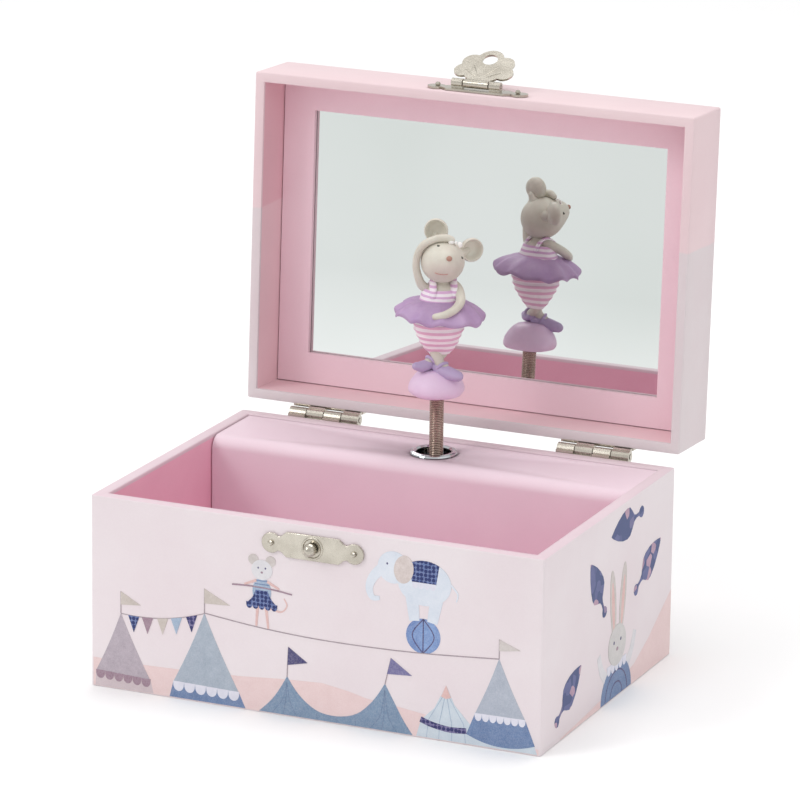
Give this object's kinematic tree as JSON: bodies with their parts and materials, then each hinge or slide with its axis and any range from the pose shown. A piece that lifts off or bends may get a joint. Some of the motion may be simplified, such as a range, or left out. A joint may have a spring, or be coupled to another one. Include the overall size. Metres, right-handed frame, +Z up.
{
  "type": "wind up music box",
  "caption": "Rectangular paper-covered music box, lid open on rear hinges with a mirror inside, a mouse dancer on a coil spring over the wind-up movement, and a front clasp.",
  "frame": {"origin": "middle of the base's underside", "axes": "+X to the right of the front, +Y to the back, +Z up; the lid stands open"},
  "size_m": [0.15, 0.1436, 0.1814],
  "materials": {
    "printed_paper_board": "satin printed paper over board",
    "pink_paper_board": "matt pink paper over board",
    "pink_lining": "short nap",
    "mirror": "silvered glass",
    "bright_plating": "bright plated",
    "nickel_plate": "dull nickel plated",
    "spring_steel": "blued and oiled",
    "comb_steel": "ground",
    "brass": "machined",
    "zinc_casting": "as cast",
    "white_nylon": "moulded",
    "painted_resin": "hand painted, satin"
  },
  "bodies": {
    "base": {"base_front_wall": "printed_paper_board", "base_rear_wall": "printed_paper_board", "base_left_wall": "printed_paper_board", "base_right_wall": "printed_paper_board", "base_floor": "printed_paper_board", "compartment_lining": "pink_lining", "movement_cover": "pink_paper_board", "platform_grommet": "bright_plating", "left_hinge_base_leaf": "nickel_plate", "left_hinge_pin": "nickel_plate", "left_hinge_base_leaf_nail_1": "nickel_plate", "left_hinge_base_leaf_nail_2": "nickel_plate", "right_hinge_base_leaf": "nickel_plate", "right_hinge_pin": "nickel_plate", "right_hinge_base_leaf_nail_1": "nickel_plate", "right_hinge_base_leaf_nail_2": "nickel_plate", "clasp_plate": "nickel_plate", "clasp_knob": "nickel_plate", "clasp_nail_1": "nickel_plate", "clasp_nail_2": "nickel_plate", "movement_bedplate": "zinc_casting", "bedplate_screw_1": "brass", "bedplate_screw_2": "brass", "tone_comb": "comb_steel", "comb_screw_1": "brass", "comb_screw_2": "brass", "governor_bracket": "brass", "spindle_bracket": "brass"},
    "lid": {"lid_front_wall": "printed_paper_board", "lid_rear_wall": "printed_paper_board", "lid_left_wall": "printed_paper_board", "lid_right_wall": "printed_paper_board", "lid_top_panel": "printed_paper_board", "mirror_frame": "pink_paper_board", "mirror_glass": "mirror", "left_hinge_lid_leaf": "nickel_plate", "left_hinge_lid_leaf_nail_1": "nickel_plate", "left_hinge_lid_leaf_nail_2": "nickel_plate", "right_hinge_lid_leaf": "nickel_plate", "right_hinge_lid_leaf_nail_1": "nickel_plate", "right_hinge_lid_leaf_nail_2": "nickel_plate", "hasp_base_plate": "nickel_plate", "hasp_pin": "nickel_plate", "hasp_nail_1": "nickel_plate", "hasp_nail_2": "nickel_plate"},
    "hasp": {"hasp_flap": "nickel_plate"},
    "key": {"winding_key": "nickel_plate", "winding_arbor": "zinc_casting"},
    "barrel": {"spring_barrel": "brass", "mainspring": "spring_steel"},
    "note_cylinder": {"pin_cylinder": "brass", "cylinder_pinion": "brass", "cylinder_gear": "brass"},
    "governor": {"governor_wheel": "white_nylon"},
    "fan": {"governor_worm": "white_nylon"},
    "spindle": {"figure_spindle": "zinc_casting", "spindle_crown_wheel": "white_nylon"},
    "spring": {"figure_spring": "spring_steel"},
    "plug": {"spring_top_plug": "brass"},
    "dancer": {"dancer_figurine": "painted_resin"}
  },
  "joints": [
    {"name": "lid_hinge", "type": "hinge", "parent": "base", "child": "lid", "pos_m": [0, 0.0561, 0.06215], "axis": [1, 0, 0], "range_deg": [0, 92.7]},
    {"name": "hasp_hinge", "type": "hinge", "parent": "lid", "child": "hasp", "pos_m": [0, 0.06623, 0.174], "axis": [1, 0, 0], "range_deg": [0, 150]},
    {"name": "key_turn", "type": "hinge", "parent": "base", "child": "key", "pos_m": [0, 0.0495, 0.034], "axis": [0, 1, 0], "continuous": true},
    {"name": "barrel_spin", "type": "hinge", "parent": "base", "child": "barrel", "pos_m": [0, 0.0408, 0.034], "axis": [0, 1, 0], "continuous": true},
    {"name": "cylinder_spin", "type": "hinge", "parent": "base", "child": "note_cylinder", "pos_m": [0.0248, 0.03155, 0.034], "axis": [1, 0, 0], "continuous": true},
    {"name": "governor_spin", "type": "hinge", "parent": "base", "child": "governor", "pos_m": [0.0392, 0.03155, 0.04315], "axis": [1, 0, 0], "continuous": true},
    {"name": "fan_spin", "type": "hinge", "parent": "base", "child": "fan", "pos_m": [0.0408, 0.03895, 0.044], "axis": [0, 0, 1], "continuous": true},
    {"name": "spindle_spin", "type": "hinge", "parent": "base", "child": "spindle", "pos_m": [0, 0.0365, 0.05], "axis": [0, 0, 1], "continuous": true},
    {"name": "spring_bend", "type": "hinge", "parent": "base", "child": "spring", "pos_m": [0, 0.0365, 0.0622], "axis": [1, 0, 0], "range_deg": [0, 54]},
    {"name": "dancer_tilt", "type": "hinge", "parent": "spring", "child": "plug", "pos_m": [0, 0.0365, 0.0757], "axis": [1, 0, 0], "range_deg": [0, 51]},
    {"name": "dancer_spin", "type": "hinge", "parent": "plug", "child": "dancer", "pos_m": [0, 0.0365, 0.08], "axis": [0, 0, 1], "continuous": true}
  ],
  "couplings": [
    {"joint": "cylinder_spin", "follows": "barrel_spin", "ratio": -3},
    {"joint": "governor_spin", "follows": "barrel_spin", "ratio": 6},
    {"joint": "fan_spin", "follows": "barrel_spin", "ratio": -72},
    {"joint": "spindle_spin", "follows": "barrel_spin", "ratio": -1.35},
    {"joint": "dancer_spin", "follows": "barrel_spin", "ratio": -1.35},
    {"joint": "spring_bend", "follows": "lid_hinge", "ratio": 0.5825},
    {"joint": "dancer_tilt", "follows": "lid_hinge", "ratio": 0.5501}
  ]
}
